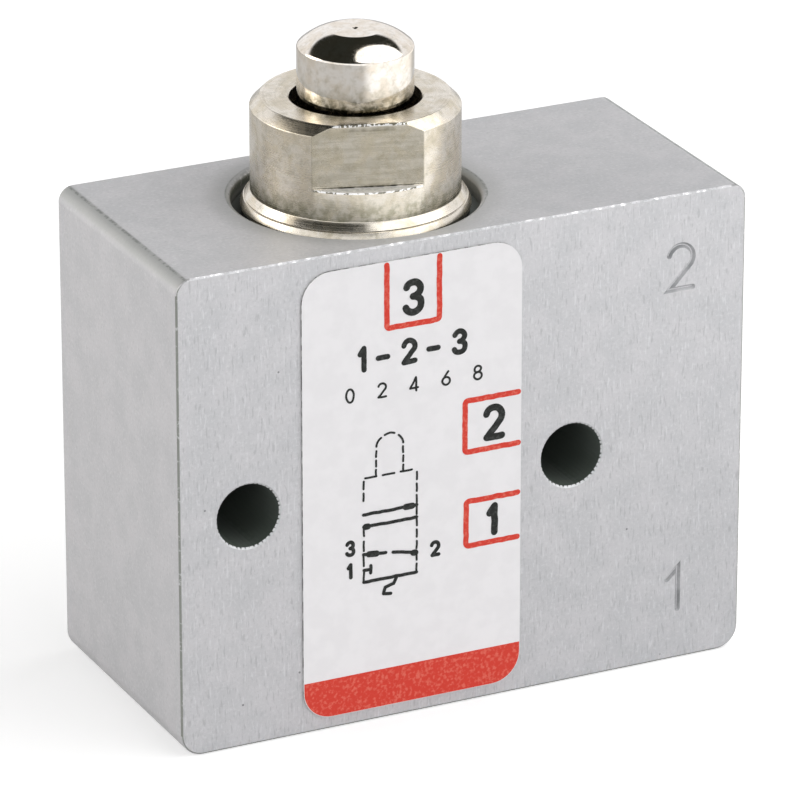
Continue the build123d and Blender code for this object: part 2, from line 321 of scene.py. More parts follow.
def finished(name, mesh, smooth=False):
    """Turns a bmesh into an object of the scene, with its faces turned outwards."""
    bmesh.ops.remove_doubles(mesh, verts=mesh.verts, dist=1e-8)
    bmesh.ops.recalc_face_normals(mesh, faces=mesh.faces)
    for face in mesh.faces:
        face.smooth = smooth
    data = bpy.data.meshes.new(name)
    mesh.to_mesh(data)
    mesh.free()
    piece = bpy.data.objects.new(name, data)
    scene.collection.objects.link(piece)
    return piece


# %% [markdown]
# The figures are plain ones of a round pen, each drawn from arcs and straight runs in a box of
# its own height. They stand for the port numbers that such valves carry.

# %% Figures
narrow_share, wide_share = 0.36, 0.64
hair_rise = 0.001 * MM


def figure_paths(figure, left, base, height, weight):
    """The strokes of a figure as (points, closed), and the figure's width."""
    width = height * (narrow_share if figure == "1" else wide_share)
    mid, half = left + width / 2, (width - weight) / 2
    low, high = base + weight / 2, base + height - weight / 2
    tall = high - low
    if figure == "0":
        return [(arc((mid, low + tall / 2), (half, tall / 2), 0, 345, 23), True)], width
    if figure == "1":
        stem = left + width - weight / 2
        return [([(left + weight / 2, low + 0.74 * tall), (stem, high), (stem, low)], False)], width
    if figure == "2":
        bowl = arc((mid, high - 0.29 * tall), (half, 0.29 * tall), 165, -32)
        foot = [Vector((left + 0.6 * weight, low)), Vector((left + width - weight / 2, low))]
        return [(bowl + foot, False)], width
    if figure == "3":
        upper = arc((mid, high - 0.235 * tall), (0.88 * half, 0.235 * tall), 160, -90)
        lower = arc((mid, low + 0.265 * tall), (half, 0.265 * tall), 90, -160)
        return [(upper, False), (lower, False)], width
    if figure == "4":
        stem, bar = left + 0.7 * width, low + 0.22 * tall
        beak = [(stem, high), (left + weight / 2, bar), (left + width - weight / 2, bar)]
        return [(beak, False), ([(stem, high), (stem, low)], False)], width
    if figure == "6":
        ring = arc((mid, low + 0.3 * tall), (half, 0.3 * tall), 0, 345, 23)
        return [(ring, True), ([(left + 0.72 * width, high), (mid - 0.86 * half, low + 0.42 * tall)], False)], width
    if figure == "8":
        upper = arc((mid, high - 0.23 * tall), (0.85 * half, 0.23 * tall), 0, 345, 23)
        lower = arc((mid, low + 0.27 * tall), (half, 0.27 * tall), 0, 345, 23)
        return [(upper, True), (lower, True)], width
    dash = low + 0.42 * tall
    return [([(left + weight / 2, dash), (left + 0.75 * width, dash)], False)], width


def one_stroke(points, closed):
    """The strokes of a path that is drawn in one go."""
    return [points]


def add_figures(mesh, text, middle, base, height, weight, gap, depths, back_width=None, strokes=one_stroke):
    """Adds a line of figures about a middle. A blank is as wide as a figure.

    Where two strokes of a figure cross, the second lies a hair higher, so their faces don't meet.
    """
    widths = [figure_paths(figure, 0, 0, height, weight)[1] for figure in text]
    left = middle - (sum(widths) + gap * (len(text) - 1)) / 2
    for figure, width in zip(text, widths):
        if figure != " ":
            rank = 0
            for points, closed in figure_paths(figure, left, base, height, weight)[0]:
                for part in strokes(points, closed):
                    add_stroke(mesh, part, (weight, back_width or weight),
                               (depths[0] - rank * hair_rise, depths[1]), closed)
                    rank += 1
        left += width + gap


# %% [markdown]
# On such a label the port numbers stand in thin red frames that run off the label's edge, next
# to the port or the exhaust that they name. A plain red band closes the label at its foot. The
# places are in millimetres, seen from the front, with the block's middle and base as zero.

# %% Wobble of the printing
wobble_step, wobble_size, wobble_grain = 0.16 * MM, 0.035 * MM, 0.4 * MM
sharp_turn = math.radians(50)
noise.seed_set(1)


def printed(points, closed=False):
    """A path divided into short runs, each point a hair off its place, as a rubber stamp prints."""
    points = [Vector(point) for point in points]
    path = []
    for start, end in zip(points, points[1:] + points[:1] if closed else points[1:]):
        count = max(1, round((end - start).length / wobble_step))
        path += [start.lerp(end, i / count) for i in range(count)]
    path += [] if closed else [points[-1]]
    return [spot + noise.noise_vector(Vector((*spot, 0)) / wobble_grain).xy * wobble_size for spot in path]


def pen_strokes(points, closed=False):
    """A printed path, parted at its sharp corners so that each part ends round, as a pen's does."""
    if closed:
        return [printed(points, True)]
    points = [Vector(point) for point in points]
    parts = [[points[0]]]
    for before, corner, after in zip(points, points[1:], points[2:]):
        parts[-1].append(corner)
        if (corner - before).angle(after - corner) > sharp_turn:
            parts.append([corner])
    parts[-1].append(points[-1])
    return [printed(part) for part in parts]


# %% Red print on the label
ink_depths = (label_low.y - 0.02 * MM, label_low.y)
frame_line = 0.37
frame_corner = 0.2
edge_room = 0.04
label_left, label_right = label_low.x / MM + edge_room, label_high.x / MM - edge_room
label_bottom, label_top = label_low.z / MM + edge_room, label_high.z / MM - edge_room
frame_end = label_right - frame_line / 2
exhaust_frame = [(-5.61, label_top - frame_line / 2), (-5.61, 26.95), (-1.93, 26.95),
                 (-1.93, label_top - frame_line / 2)]
outlet_frame = [(frame_end, 21.0), (-0.1, 21.0), (-0.1, 17.48), (frame_end, 17.48)]
supply_frame = [(frame_end, 14.04), (0.0, 14.04), (0.0, 10.95), (frame_end, 10.95)]
red = bmesh.new()
for corners in (exhaust_frame, outlet_frame, supply_frame):
    points = [point * MM for point in eased(corners, frame_corner)]
    add_stroke(red, printed(points), (frame_line * MM, frame_line * MM), ink_depths)

# %% Red band
band_top = 3.5
band_corner = 2.0 - edge_room
outline = [Vector((label_right, band_top)), Vector((label_left, band_top))]
outline += arc((label_left + band_corner, label_bottom + band_corner), (band_corner, band_corner), 180, 270, 10)
outline += arc((label_right - band_corner, label_bottom + band_corner), (band_corner, band_corner), 270, 360, 10)
rims = [[red.verts.new((p.x * MM, depth, p.y * MM)) for p in outline] for depth in ink_depths]
for rim in rims:
    red.faces.new(rim)
for i in range(len(outline)):
    j = (i + 1) % len(outline)
    red.faces.new((rims[0][i], rims[0][j], rims[1][j], rims[1][i]))
label_print_red = finished("label_print_red", red)
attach(label_print_red, "valve_body")

# %% [markdown]
# Black ink has the port numbers, a plain row of figures, a small scale and the valve's symbol.
# The symbol is the common one of a three-way valve: two squares with their flow paths, a button
# on top and a spring below. It is drawn with broken lines, as a small stamp prints it.

# %% Black print on the label
black = bmesh.new()
figure_rows = [
    ("3", -3.77, 27.5, 2.5, 0.47, 0.0),
    ("2", 1.95, 17.98, 2.5, 0.47, 0.0),
    ("1", 1.85, 11.35, 2.3, 0.47, 0.0),
    ("1-2-3", -3.8, 24.25, 1.8, 0.36, 0.62),
    ("0 2 4 6 8", -3.7, 22.3, 1.05, 0.14, 0.45),
    ("3", -8.2, 11.75, 1.15, 0.25, 0.0),
    ("1", -8.25, 10.2, 1.15, 0.25, 0.0),
    ("2", -2.2, 10.65, 1.15, 0.25, 0.0),
]
for text, middle, base, tall, weight, gap in figure_rows:
    add_figures(black, text, middle * MM, base * MM, tall * MM, weight * MM, gap * MM, ink_depths,
                strokes=pen_strokes)

# %% Valve symbol
hair, bold = 0.14, 0.22
box_left, box_right, box_low, box_high = -7.25, -3.51, 9.83, 17.0
button_middle, button_half, button_foot = -5.42, 0.95, 18.9


def dashed(start, end, marks):
    """Straight dashes between two points, each with a gap after it."""
    start, end = Vector(start), Vector(end)
    return [[start.lerp(end, (i + 0.08) / marks), start.lerp(end, (i + 0.72) / marks)] for i in range(marks)]


hair_lines = dashed((box_right, box_low), (box_right, box_high), 9)
hair_lines += dashed((box_left, 15.4), (box_left, box_high), 2)
hair_lines += dashed((box_left, box_low), (box_left, 14.0), 4)
hair_lines += dashed((box_left, box_high), (box_right, box_high), 3)
for side in (-button_half, button_half):
    hair_lines += dashed((button_middle + side, box_high), (button_middle + side, button_foot), 3)
dome_radii = (button_half, 19.8 - button_foot)
for start in (5, 70, 130):
    hair_lines.append(arc((button_middle, button_foot), dome_radii, start, start + 42, 6))
bold_lines = [
    [(box_left, 14.5), (box_right, 14.5)],
    [(box_left, 13.65), (box_right, 13.65)],
    [(box_left, box_low), (box_right, box_low)],
    [(box_left, 11.75), (-5.7, 11.6)],
    [(-5.2, 11.55), (box_right, 11.2)],
    [(box_left, 10.65), (-6.75, 10.65)],
    [(-6.75, 10.4), (-6.75, 10.9)],
    [(-4.9, box_low), (-5.15, 9.35), (-5.75, 9.2), (-5.85, 8.75), (-5.35, 8.7)],
]
for lines, weight, level in ((hair_lines, hair, 1), (bold_lines, bold, 10)):
    for rank, points in enumerate(lines):
        for i, part in enumerate(pen_strokes([Vector(point) * MM for point in points])):
            front = ink_depths[0] - (level + (rank + i) % 4) * hair_rise
            add_stroke(black, part, (weight * MM, weight * MM), (front, ink_depths[1]))
arrow_heads = [((box_left, 11.75), (-6.35, 11.66)), ((box_right, 14.5), (-4.3, 14.5)),
               ((box_left, 13.65), (-6.95, 13.65)), ((box_right, 11.2), (-3.75, 11.22))]
for tip, foot in arrow_heads:
    add_stroke(black, [Vector(tip).lerp(Vector(foot), 0.4) * MM, Vector(foot) * MM],
               (0.42 * MM, 0.42 * MM), (ink_depths[0] - 16 * hair_rise, ink_depths[1]))
label_print_black = finished("label_print_black", black)
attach(label_print_black, "valve_body")
print("print faces:", len(label_print_red.data.polygons), len(label_print_black.data.polygons))

# %% [markdown]
# The port numbers are also stamped in the block, beside each port. A stamp pushes metal aside
# with a wedge, so the cut is a narrow V. The strokes get a wide front just outside the face
# and a narrow back inside it, and a boolean modifier takes them out of the block.

# %% Cutters
def cut_from(piece, cutter):
    """Takes a closed cutter out of a piece. The cutter itself isn't seen."""
    modifier = piece.modifiers.new(cutter.name, "BOOLEAN")
    modifier.operation = "DIFFERENCE"
    modifier.solver = "EXACT"
    modifier.object = cutter
    cutter.hide_render = True
    cutter.hide_viewport = True


# %% Stamped numbers
stamp_height, stamp_weight, stamp_floor = 3.4 * MM, 0.42 * MM, 0.08 * MM
stamp_depth, stamp_proud = 0.17 * MM, 0.03 * MM
stamps = bmesh.new()
for text, middle, base in (("2", 15.35, 25.8), ("1", 15.1, 3.3)):
    add_figures(stamps, text, middle * MM, base * MM, stamp_height, stamp_weight, 0.0,
                (front_y - stamp_proud, front_y + stamp_depth), stamp_floor)
cut_from(nodes["body_block"], finished("stamp_cutter", stamps))

# %% [markdown]
# Turned shapes are made as on a lathe: half a section, swept round the axis in many fine steps.
# The corners of a real turned piece are never quite sharp, so each corner of the section gets
# its own small radius. That radius is what catches a line of light.

# %% Lathe
lathe_steps = 192


def soft_profile(points, steps=4):
    """A closed section of (radius, height, corner radius) with its corners rounded."""
    profile = []
    for i, (radius, height, soft) in enumerate(points):
        corner = Vector((radius, height))
        before, after = Vector(points[i - 1][:2]), Vector(points[(i + 1) % len(points)][:2])
        if soft == 0:
            profile.append(corner)
            continue
        back, ahead = (before - corner).normalized(), (after - corner).normalized()
        half = math.acos(max(-1, min(1, back.dot(ahead)))) / 2
        reach = soft / math.tan(half)
        middle = corner + (back + ahead).normalized() * soft / math.sin(half)
        start, end = corner + back * reach - middle, corner + ahead * reach - middle
        profile += [middle + (start * (1 - k / steps) + end * (k / steps)).normalized() * soft
                    for k in range(steps + 1)]
    return profile


def lathe(name, points, middle=(axis_x / MM, 0)):
    """A turned solid about an upright axis, from a section in millimetres."""
    mesh = bmesh.new()
    profile = soft_profile(points)
    rings = []
    for radius, height in profile:
        count = 1 if radius < 1e-6 else lathe_steps
        rings.append([mesh.verts.new((
            (middle[0] + radius * math.cos(2 * math.pi * i / lathe_steps)) * MM,
            (middle[1] + radius * math.sin(2 * math.pi * i / lathe_steps)) * MM,
            height * MM)) for i in range(count)])
    for below, above in zip(rings, rings[1:] + rings[:1]):
        if len(below) == 1 and len(above) == 1:
            continue
        for i in range(lathe_steps):
            j = (i + 1) % lathe_steps
            corners = [below[i % len(below)], below[j % len(below)], above[j % len(above)], above[i % len(above)]]
            mesh.faces.new(list(dict.fromkeys(corners)))
    return finished(name, mesh, smooth=True)


def crisp(piece, width=None):
    """Keeps flat faces flat in the shading, and breaks the edges that cutters left sharp."""
    if width:
        bevel = piece.modifiers.new("broken_edges", "BEVEL")
        bevel.width = width
        bevel.segments = 2
        bevel.limit_method = "ANGLE"
        bevel.angle_limit = math.radians(20)
        bevel.miter_outer = "MITER_ARC"
    normals = piece.modifiers.new("flat_faces", "WEIGHTED_NORMAL")
    normals.weight = 90
    normals.keep_sharp = True


# %% [markdown]
# The collar is a screwed-in bush of nickel-plated brass. Its flange has a steep outer slope and
# a flatter inner one with a fine groove between them. Two flats are milled on the barrel for a
# spanner. They are cut with two blocks whose lower inner edge is round, as a worn end mill
# leaves it: that small fillet mirrors the ceiling and draws a dark line above the ledge, which
# a band of painted shade makes darker.

# %% Guide collar
collar_base, collar_top = collar_low.z / MM, collar_high.z / MM
flange_radius = (collar_high.x - collar_low.x) / 2 / MM
barrel_radius, shank_radius, cavity_radius, bore_radius = 6.75, 5.95, 5.0, 4.225
flange_base, flange_rim, flange_top = 31.8, 32.05, 33.0
groove_radius, groove_height, groove_width, groove_depth = 7.2, 32.45, 0.1, 0.07
barrel_chamfer, bore_break, bore_length = 0.65, 0.12, 4.0
guide_collar_turned = lathe("guide_collar_turned", [
    (cavity_radius, collar_base, 0.03),
    (shank_radius, collar_base, 0.15),
    (shank_radius, flange_base, 0.05),
    (flange_radius, flange_base, 0.06),
    (flange_radius, flange_rim, 0.08),
    (groove_radius, groove_height, 0.02),
    (groove_radius - groove_depth, groove_height + groove_width / 4, 0.01),
    (groove_radius - groove_width * 0.6, groove_height + groove_width, 0.02),
    (barrel_radius, flange_top, 0.1),
    (barrel_radius, collar_top - barrel_chamfer, 0.1),
    (barrel_radius - barrel_chamfer, collar_top, 0.1),
    (bore_radius + bore_break, collar_top, 0.03),
    (bore_radius, collar_top - bore_break, 0.03),
    (bore_radius, collar_top - bore_length, 0.03),
    (cavity_radius, collar_top - bore_length, 0.03),
])


def add_side_block(mesh, turn, near, far, half_width, low, high):
    """Adds a block beside the valve's axis, turned about it, and gives its lower inner edge."""
    out, along = Vector((math.cos(turn), math.sin(turn))), Vector((-math.sin(turn), math.cos(turn)))
    corners = []
    for level, side, reach in ((z, s, r) for z in (low, high) for s in (-half_width, half_width) for r in (near, far)):
        spot = Vector((axis_x / MM, 0)) + along * side + out * reach
        corners.append(mesh.verts.new((spot.x * MM, spot.y * MM, level * MM)))
    for face in ((0, 1, 3, 2), (4, 5, 7, 6), (0, 1, 5, 4), (2, 3, 7, 6), (0, 2, 6, 4), (1, 3, 7, 5)):
        mesh.faces.new([corners[i] for i in face])
    return mesh.edges.get((corners[0], corners[2]))


flat_distance, flat_ledge, flat_turn, mill_radius = 5.75, 35.0, math.radians(-107.6), 0.16 * MM
flats = bmesh.new()
for half_turn in (0, math.pi):
    low_edge = add_side_block(flats, flat_turn + half_turn, flat_distance, 8, 8, flat_ledge, collar_top + 1)
    bmesh.ops.bevel(flats, geom=[low_edge], offset=mill_radius, segments=4, profile=0.5, affect="EDGES")
cut_from(guide_collar_turned, finished("flat_cutter", flats))
crisp(guide_collar_turned, 0.11 * MM)
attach(guide_collar_turned, "valve_body")
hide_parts("guide_collar")

# %% [markdown]
# The plunger is one turned piece too. Its crown is a cone with a slight belly, because the
# polishing wheel rounds it, and the belly bends the black and bright shapes that it mirrors.

# %% Plunger
plunger_base, plunger_top = plunger_low.z / MM, plunger_high.z / MM
skirt_radius, plunger_radius, recess_radius, stem_radius = 4.93, 3.75, 3.05, 2.0
crown_height, cap_radius, crown_belly, rim_soft = 1.1, 1.77, 0.16, 0.3
mark_radius, mark_depth, recess_top, stem_top = 0.22, 0.14, 37.5, 41.5
rim_height = plunger_top - crown_height
step_height = collar_top - bore_length


def belly(start, end, rise, count=12):
    """The points between two ends of a shallow arc that stands out to the right of its chord."""
    start, end = Vector(start), Vector(end)
    run = end - start
    out = Vector((run.y, -run.x)).normalized()
    return [(*(start + run * t + out * 4 * rise * t * (1 - t)), 0) for t in (i / count for i in range(1, count))]


plunger_turned = lathe("plunger_turned", [
    (recess_radius, plunger_base, 0.03),
    (skirt_radius, plunger_base, 0.1),
    (skirt_radius, step_height, 0.03),
    (plunger_radius, step_height, 0.03),
    (plunger_radius, rim_height, rim_soft),
    *belly((plunger_radius, rim_height), (cap_radius, plunger_top), crown_belly),
    (cap_radius, plunger_top, 0.12),
    (mark_radius, plunger_top, 0.02),
    (0, plunger_top - mark_depth, 0),
    (0, stem_top, 0),
    (stem_radius, stem_top, 0.03),
    (stem_radius, recess_top, 0.03),
    (recess_radius, recess_top, 0.03),
])
flute_floor, flute_half_width, flute_count = 3.9, 1.0, 3
flutes = bmesh.new()
for i in range(flute_count):
    add_side_block(flutes, 2 * math.pi * i / flute_count, flute_floor, skirt_radius + 1, flute_half_width,
                   plunger_base - 0.5, step_height)
cut_from(plunger_turned, finished("flute_cutter", flutes))
crisp(plunger_turned)
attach(plunger_turned, "plunger")
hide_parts("plunger")

# %% [markdown]
# A drill leaves a sharp edge, and a touch of a larger drill breaks it. The mounting holes get
# that edge from two turned cones at each end, laid over on their sides.

# %% Broken edges of the mounting holes
hole_break = 0.12
for side, place in ((-1, "left"), (1, "right")):
    for end, face_y, label in ((-1, front_y, "front"), (1, -front_y, "back")):
        cone = lathe("hole_edge_%s_%s" % (place, label), [
            (0, -hole_break, 0), (hole_radius / MM, -hole_break, 0),
            (hole_radius / MM + 2 * hole_break, hole_break, 0), (0, hole_break, 0)], (0, 0))
        cone.rotation_euler.x = math.radians(90 if end < 0 else -90)
        cone.location = (hole_middle.x + side * hole_half_pitch, face_y, hole_middle.z)
        cut_from(nodes["body_block"], cone)

# %% [markdown]
# The two ports are tapped for a fitting with a fine screw thread, M5 with a pitch of 0.8 mm. The
# solid has the hole that the tap starts from. A tap's thread is a triangular rib wound round the
# axis, so the cutter is that rib, a few turns long, and the boolean takes it out of the wall.

# %% Port threads
thread_pitch, thread_outer, thread_inner, thread_length = 0.8 * MM, 2.5 * MM, 1.9 * MM, 6.0 * MM
thread_steps = 40
seam_gap = 0.003 * MM


def thread_cutter(name, mouth):
    """A triangular rib wound about a line along X, from a mouth inwards, closed at both ends."""
    mesh = bmesh.new()
    half_width = (thread_outer - thread_inner) * math.tan(math.radians(30))
    rows = []
    for i in range(int(thread_length / thread_pitch * thread_steps) + 1):
        angle = 2 * math.pi * i / thread_steps
        along = mouth.x - thread_pitch * i / thread_steps
        rows.append([mesh.verts.new((along + shift, mouth.y + radius * math.cos(angle),
                                     mouth.z + radius * math.sin(angle)))
                     for radius, shift in ((thread_inner, -half_width), (thread_outer, 0),
                                           (thread_inner, half_width))])
    for before, after in zip(rows, rows[1:]):
        for i in range(3):
            j = (i + 1) % 3
            mesh.faces.new((before[i], before[j], after[j], after[i]))
    mesh.faces.new(rows[0])
    mesh.faces.new(rows[-1])
    return finished(name, mesh)


for port_name in ("supply_port", "outlet_port"):
    port_place = Vector(mounts[port_name]["pos_m"])
    port_place.x = block_high.x + 0.3 * MM
    cut_from(nodes["body_block"], thread_cutter(port_name + "_thread", port_place))
    print(port_name, [round(v / MM, 2) for v in port_place])
weld = nodes["body_block"].modifiers.new("clean_seams", "WELD")
weld.merge_threshold = seam_gap
crisp(nodes["body_block"])

# %% [markdown]
# The springs inside are coils of round wire with closed end turns, ground flat. The solids stand
# in for them with a wire of six sides. A coil shortens when the plunger goes down; the coils made
# here keep the length of the solids.

# %% Springs
wire_sides, wire_steps, turn_gap = 12, 36, 0.03 * MM


def coiled_wire(name, node, wire, turns):
    """A compression spring of round wire in the place of a solid, its end turns ground flat."""
    low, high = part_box(node)
    coil = (high.x - low.x) / 2 - wire
    closed_rise = 2 * wire + turn_gap
    open_rise = (high.z - low.z - 2 * wire - 2 * closed_rise) / (turns - 2)
    mesh = bmesh.new()
    rings = []
    for i in range(turns * wire_steps + 1):
        turn = i / wire_steps
        opened = min(max(turn - 1, 0), turns - 2)
        level = low.z + wire + opened * open_rise + (turn - opened) * closed_rise
        angle = 2 * math.pi * turn
        ring = []
        for k in range(wire_sides):
            about = 2 * math.pi * k / wire_sides
            reach = coil + wire * math.cos(about)
            ring.append(mesh.verts.new((axis_x + reach * math.cos(angle), reach * math.sin(angle),
                                        min(max(level + wire * math.sin(about), low.z), high.z))))
        rings.append(ring)
    for before, after in zip(rings, rings[1:]):
        for k in range(wire_sides):
            m = (k + 1) % wire_sides
            mesh.faces.new((before[k], before[m], after[m], after[k]))
    mesh.faces.new(rings[0])
    mesh.faces.new(rings[-1])
    piece = finished(name, mesh, smooth=True)
    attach(piece, "valve_body")
    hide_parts(node)
    return piece, low, high


spring_pieces = []
for name, node, wire, turns, joint in (
        ("return_spring_coils", "return_spring", 0.25 * MM, 7, "plunger_press"),
        ("poppet_spring_coils", "poppet_spring", 0.2 * MM, 5, "poppet_lift")):
    piece, low, high = coiled_wire(name, node, wire, turns)
    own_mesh(piece)
    spring_pieces.append(piece)

# %% [markdown]
# Patterns are placed by the object's own coordinates, in metres, so they stay on a piece when it
# moves. A pattern's scale is the number of its grains in a metre, worked out from a grain's size.

# %% Pattern scale
def grains(size):
    """The scale of a pattern whose grains have this size in millimetres."""
    return 1 / (size * MM)


# %% [markdown]
# The block is cut from a drawn aluminium bar and anodised in its natural colour. The bath etches
# the metal first, so the faces are matt, with a fine grain, cloudy patches and faint scratches
# along the drawing direction. Each step mixes one of these over the ones before.

# %% Anodised aluminium: cloudy patches and grain
anodised_aluminium, tree, shader = new_material("anodised_aluminium")
place = add(tree, "TexCoord", out="Object")
facing = add(tree, "SeparateXYZ", {0: add(tree, "TexCoord", out="Normal")}).node.outputs
spot = add(tree, "SeparateXYZ", {0: place}).node.outputs
frontness = add(tree, "Math", {0: facing["Y"]}, operation="ABSOLUTE")
on_face = add(tree, "MapRange", {0: frontness, 1: 0.9, 2: 0.99}, **soft)
clouds = add(tree, "TexNoise", {"Vector": place, "Scale": grains(2.4), "Detail": 4.0, "Roughness": 0.6})
grain = add(tree, "TexNoise", {"Vector": place, "Scale": grains(0.22), "Detail": 3.0, "Roughness": 0.65})
patch = add(tree, "MapRange", {0: clouds, 1: 0.35, 2: 0.65}, **soft)
color = add(tree, "Mix", {0: patch, 6: linear("#CFCED0"), 7: linear("#C8C8CA")}, **colour)
pale_grain = add(tree, "MapRange", {0: grain, 1: 0.5, 2: 0.7, 4: 0.5}, **soft)
color = add(tree, "Mix", {0: pale_grain, 6: color, 7: linear("#DFDFE0")}, **colour)
dark_grain = add(tree, "MapRange", {0: grain, 1: 0.45, 2: 0.32, 4: 0.4}, **soft)
color = add(tree, "Mix", {0: dark_grain, 6: color, 7: linear("#B4B5B6")}, **colour)

# %% Anodised aluminium: scratches and pits
drawn = add(tree, "Mapping", {"Vector": place, "Scale": [grains(0.13), grains(0.13), grains(0.9)]})
scratch_noise = add(tree, "TexNoise", {"Vector": drawn, "Scale": 1.0, "Detail": 2.0})
dark_scratch = add(tree, "MapRange", {0: scratch_noise, 1: 0.59, 2: 0.69, 4: 0.36}, **soft)
dark_scratch = add(tree, "Math", {0: dark_scratch, 1: on_face}, **times)
pale_scratch = add(tree, "MapRange", {0: scratch_noise, 1: 0.4, 2: 0.3, 4: 0.45}, **soft)
pale_scratch = add(tree, "Math", {0: pale_scratch, 1: on_face}, **times)
color = add(tree, "Mix", {0: dark_scratch, 6: color, 7: linear("#9FA0A2")}, **colour)
color = add(tree, "Mix", {0: pale_scratch, 6: color, 7: linear("#E4E4E6")}, **colour)
pit_cells = add(tree, "TexVoronoi", {"Vector": place, "Scale": grains(1.3)}).node.outputs
pit_chance = add(tree, "SeparateColor", {0: pit_cells["Color"]})
pit = add(tree, "MapRange", {0: pit_cells["Distance"], 1: 0.075, 2: 0.04}, **soft)
pit = add(tree, "Math", {0: pit, 1: add(tree, "MapRange", {0: pit_chance, 1: 0.88, 2: 0.89})}, **times)
color = add(tree, "Mix", {0: add(tree, "Math", {0: pit, 1: 0.7}, **times), 6: color, 7: linear("#55575A")},
            **colour)

# %% [markdown]
# The saw and the cutter leave the block's own edges sharp. On the upward edges they get broken
# painted glints with darker painted shade between them, and the edges at the side get painted shade.
# Where these edges are is told by the distance to the outline, and that keeps this painted light
# off the stamped numbers and the holes. The bar's rounded corners, which the die drew, get painted
# shade a little darker than the faces, with a thin painted dark line where the top face begins.

# %% Anodised aluminium: edges of the outline
block_middle = (block_low + block_high) / 2
block_half = (block_high - block_low) / 2
beyond = []
for axis in ("X", "Z"):
    middle, half = getattr(block_middle, axis.lower()), getattr(block_half, axis.lower())
    shifted = add(tree, "Math", {0: spot[axis], 1: middle}, operation="SUBTRACT")
    shifted = add(tree, "Math", {0: shifted}, operation="ABSOLUTE")
    beyond.append(add(tree, "Math", {0: shifted, 1: half}, operation="SUBTRACT"))
outline_gap = add(tree, "Math", {0: beyond[0], 1: beyond[1]}, operation="MAXIMUM")
at_outline = add(tree, "MapRange", {0: outline_gap, 1: -0.9 * MM, 2: -0.6 * MM}, **soft)
tilted = add(tree, "MapRange", {0: frontness, 1: 0.3, 2: 0.5}, **soft)
tilted = add(tree, "Math", {0: tilted, 1: add(tree, "MapRange", {0: frontness, 1: 0.97, 2: 0.88}, **soft)},
             **times)
edge = add(tree, "Math", {0: tilted, 1: at_outline}, **times)
nicks = add(tree, "TexNoise", {"Vector": place, "Scale": grains(0.42), "Detail": 3.0, "Roughness": 0.7})
edge_up = add(tree, "Math", {0: edge, 1: add(tree, "MapRange", {0: facing["Z"], 1: 0.4, 2: 0.65}, **soft)}, **times)
edge_side = add(tree, "Math", {0: edge, 1: add(tree, "MapRange", {0: facing["Z"], 1: 0.65, 2: 0.4}, **soft)},
                **times)
# Painted light on the outline's edges: broken painted glints on the upward edges, darker painted shade between them,
# and painted shade on the side edges.
painted_glint = add(tree, "Math", {0: edge_up, 1: add(tree, "MapRange", {0: nicks, 1: 0.55, 2: 0.63}, **soft)}, **times)
painted_top_edge_shade = add(tree, "Math", {0: edge_up, 1: add(tree, "MapRange", {0: nicks, 1: 0.5, 2: 0.42, 4: 0.35}, **soft)},
             **times)
painted_side_edge_shade = add(tree, "Math", {0: edge_side, 1: add(tree, "MapRange", {0: nicks, 1: 0.7, 2: 0.55, 4: 0.9}, **soft)},
            **times)
color = add(tree, "Mix", {0: painted_side_edge_shade, 6: color, 7: linear("#8A8D86")}, **colour)
color = add(tree, "Mix", {0: painted_top_edge_shade, 6: color, 7: linear("#8C8F8E")}, **colour)
color = add(tree, "Mix", {0: painted_glint, 6: color, 7: linear("#FAFAFA")}, **colour)

# %% Anodised aluminium: drawn corners and stamps
# Painted shade on the drawn corners, a band darker than the faces.
sideness = add(tree, "MapRange", {0: frontness, 1: 0.3, 2: 0.1}, **soft)
corner = add(tree, "Math", {0: sideness, 1: add(tree, "MapRange", {0: facing["Z"], 1: 0.15, 2: 0.6}, **soft)},
             **times)
corner = add(tree, "Math", {0: corner, 1: add(tree, "MapRange", {0: facing["Z"], 1: 0.995, 2: 0.96}, **soft)},
             **times)
color = add(tree, "Mix", {0: add(tree, "Math", {0: corner, 1: 0.55}, **times), 6: color, 7: linear("#969993")},
            **colour)
# A thin painted dark line where the top face begins.
painted_corner_line = add(tree, "Math", {0: corner, 1: add(tree, "MapRange", {0: facing["Z"], 1: 0.9, 2: 0.94}, **soft)}, **times)
painted_corner_line = add(tree, "Math", {0: painted_corner_line, 1: add(tree, "MapRange", {0: nicks, 1: 0.4, 2: 0.6, 4: 0.6}, **soft)}, **times)
color = add(tree, "Mix", {0: painted_corner_line, 6: color, 7: linear("#6C706B")}, **colour)
# Painted shade in the stamped grooves, its strength made uneven by a noise.
inside_outline = add(tree, "MapRange", {0: outline_gap, 1: -0.9 * MM, 2: -1.1 * MM}, **soft)
painted_stamp_shade = add(tree, "Math", {0: tilted, 1: inside_outline}, **times)
stamp_shade_strength = add(tree, "MapRange", {0: clouds, 1: 0.4, 2: 0.6, 3: 0.35, 4: 0.85}, **soft)
color = add(tree, "Mix", {0: add(tree, "Math", {0: painted_stamp_shade, 1: stamp_shade_strength}, **times), 6: color, 7: linear("#8F9192")},
            **colour)

# %% [markdown]
# The narrow holes get painted shade, nearly black, and are dull. Each hole is told by its
# distance from its own axis. Its broken edge gets a pale painted highlight.

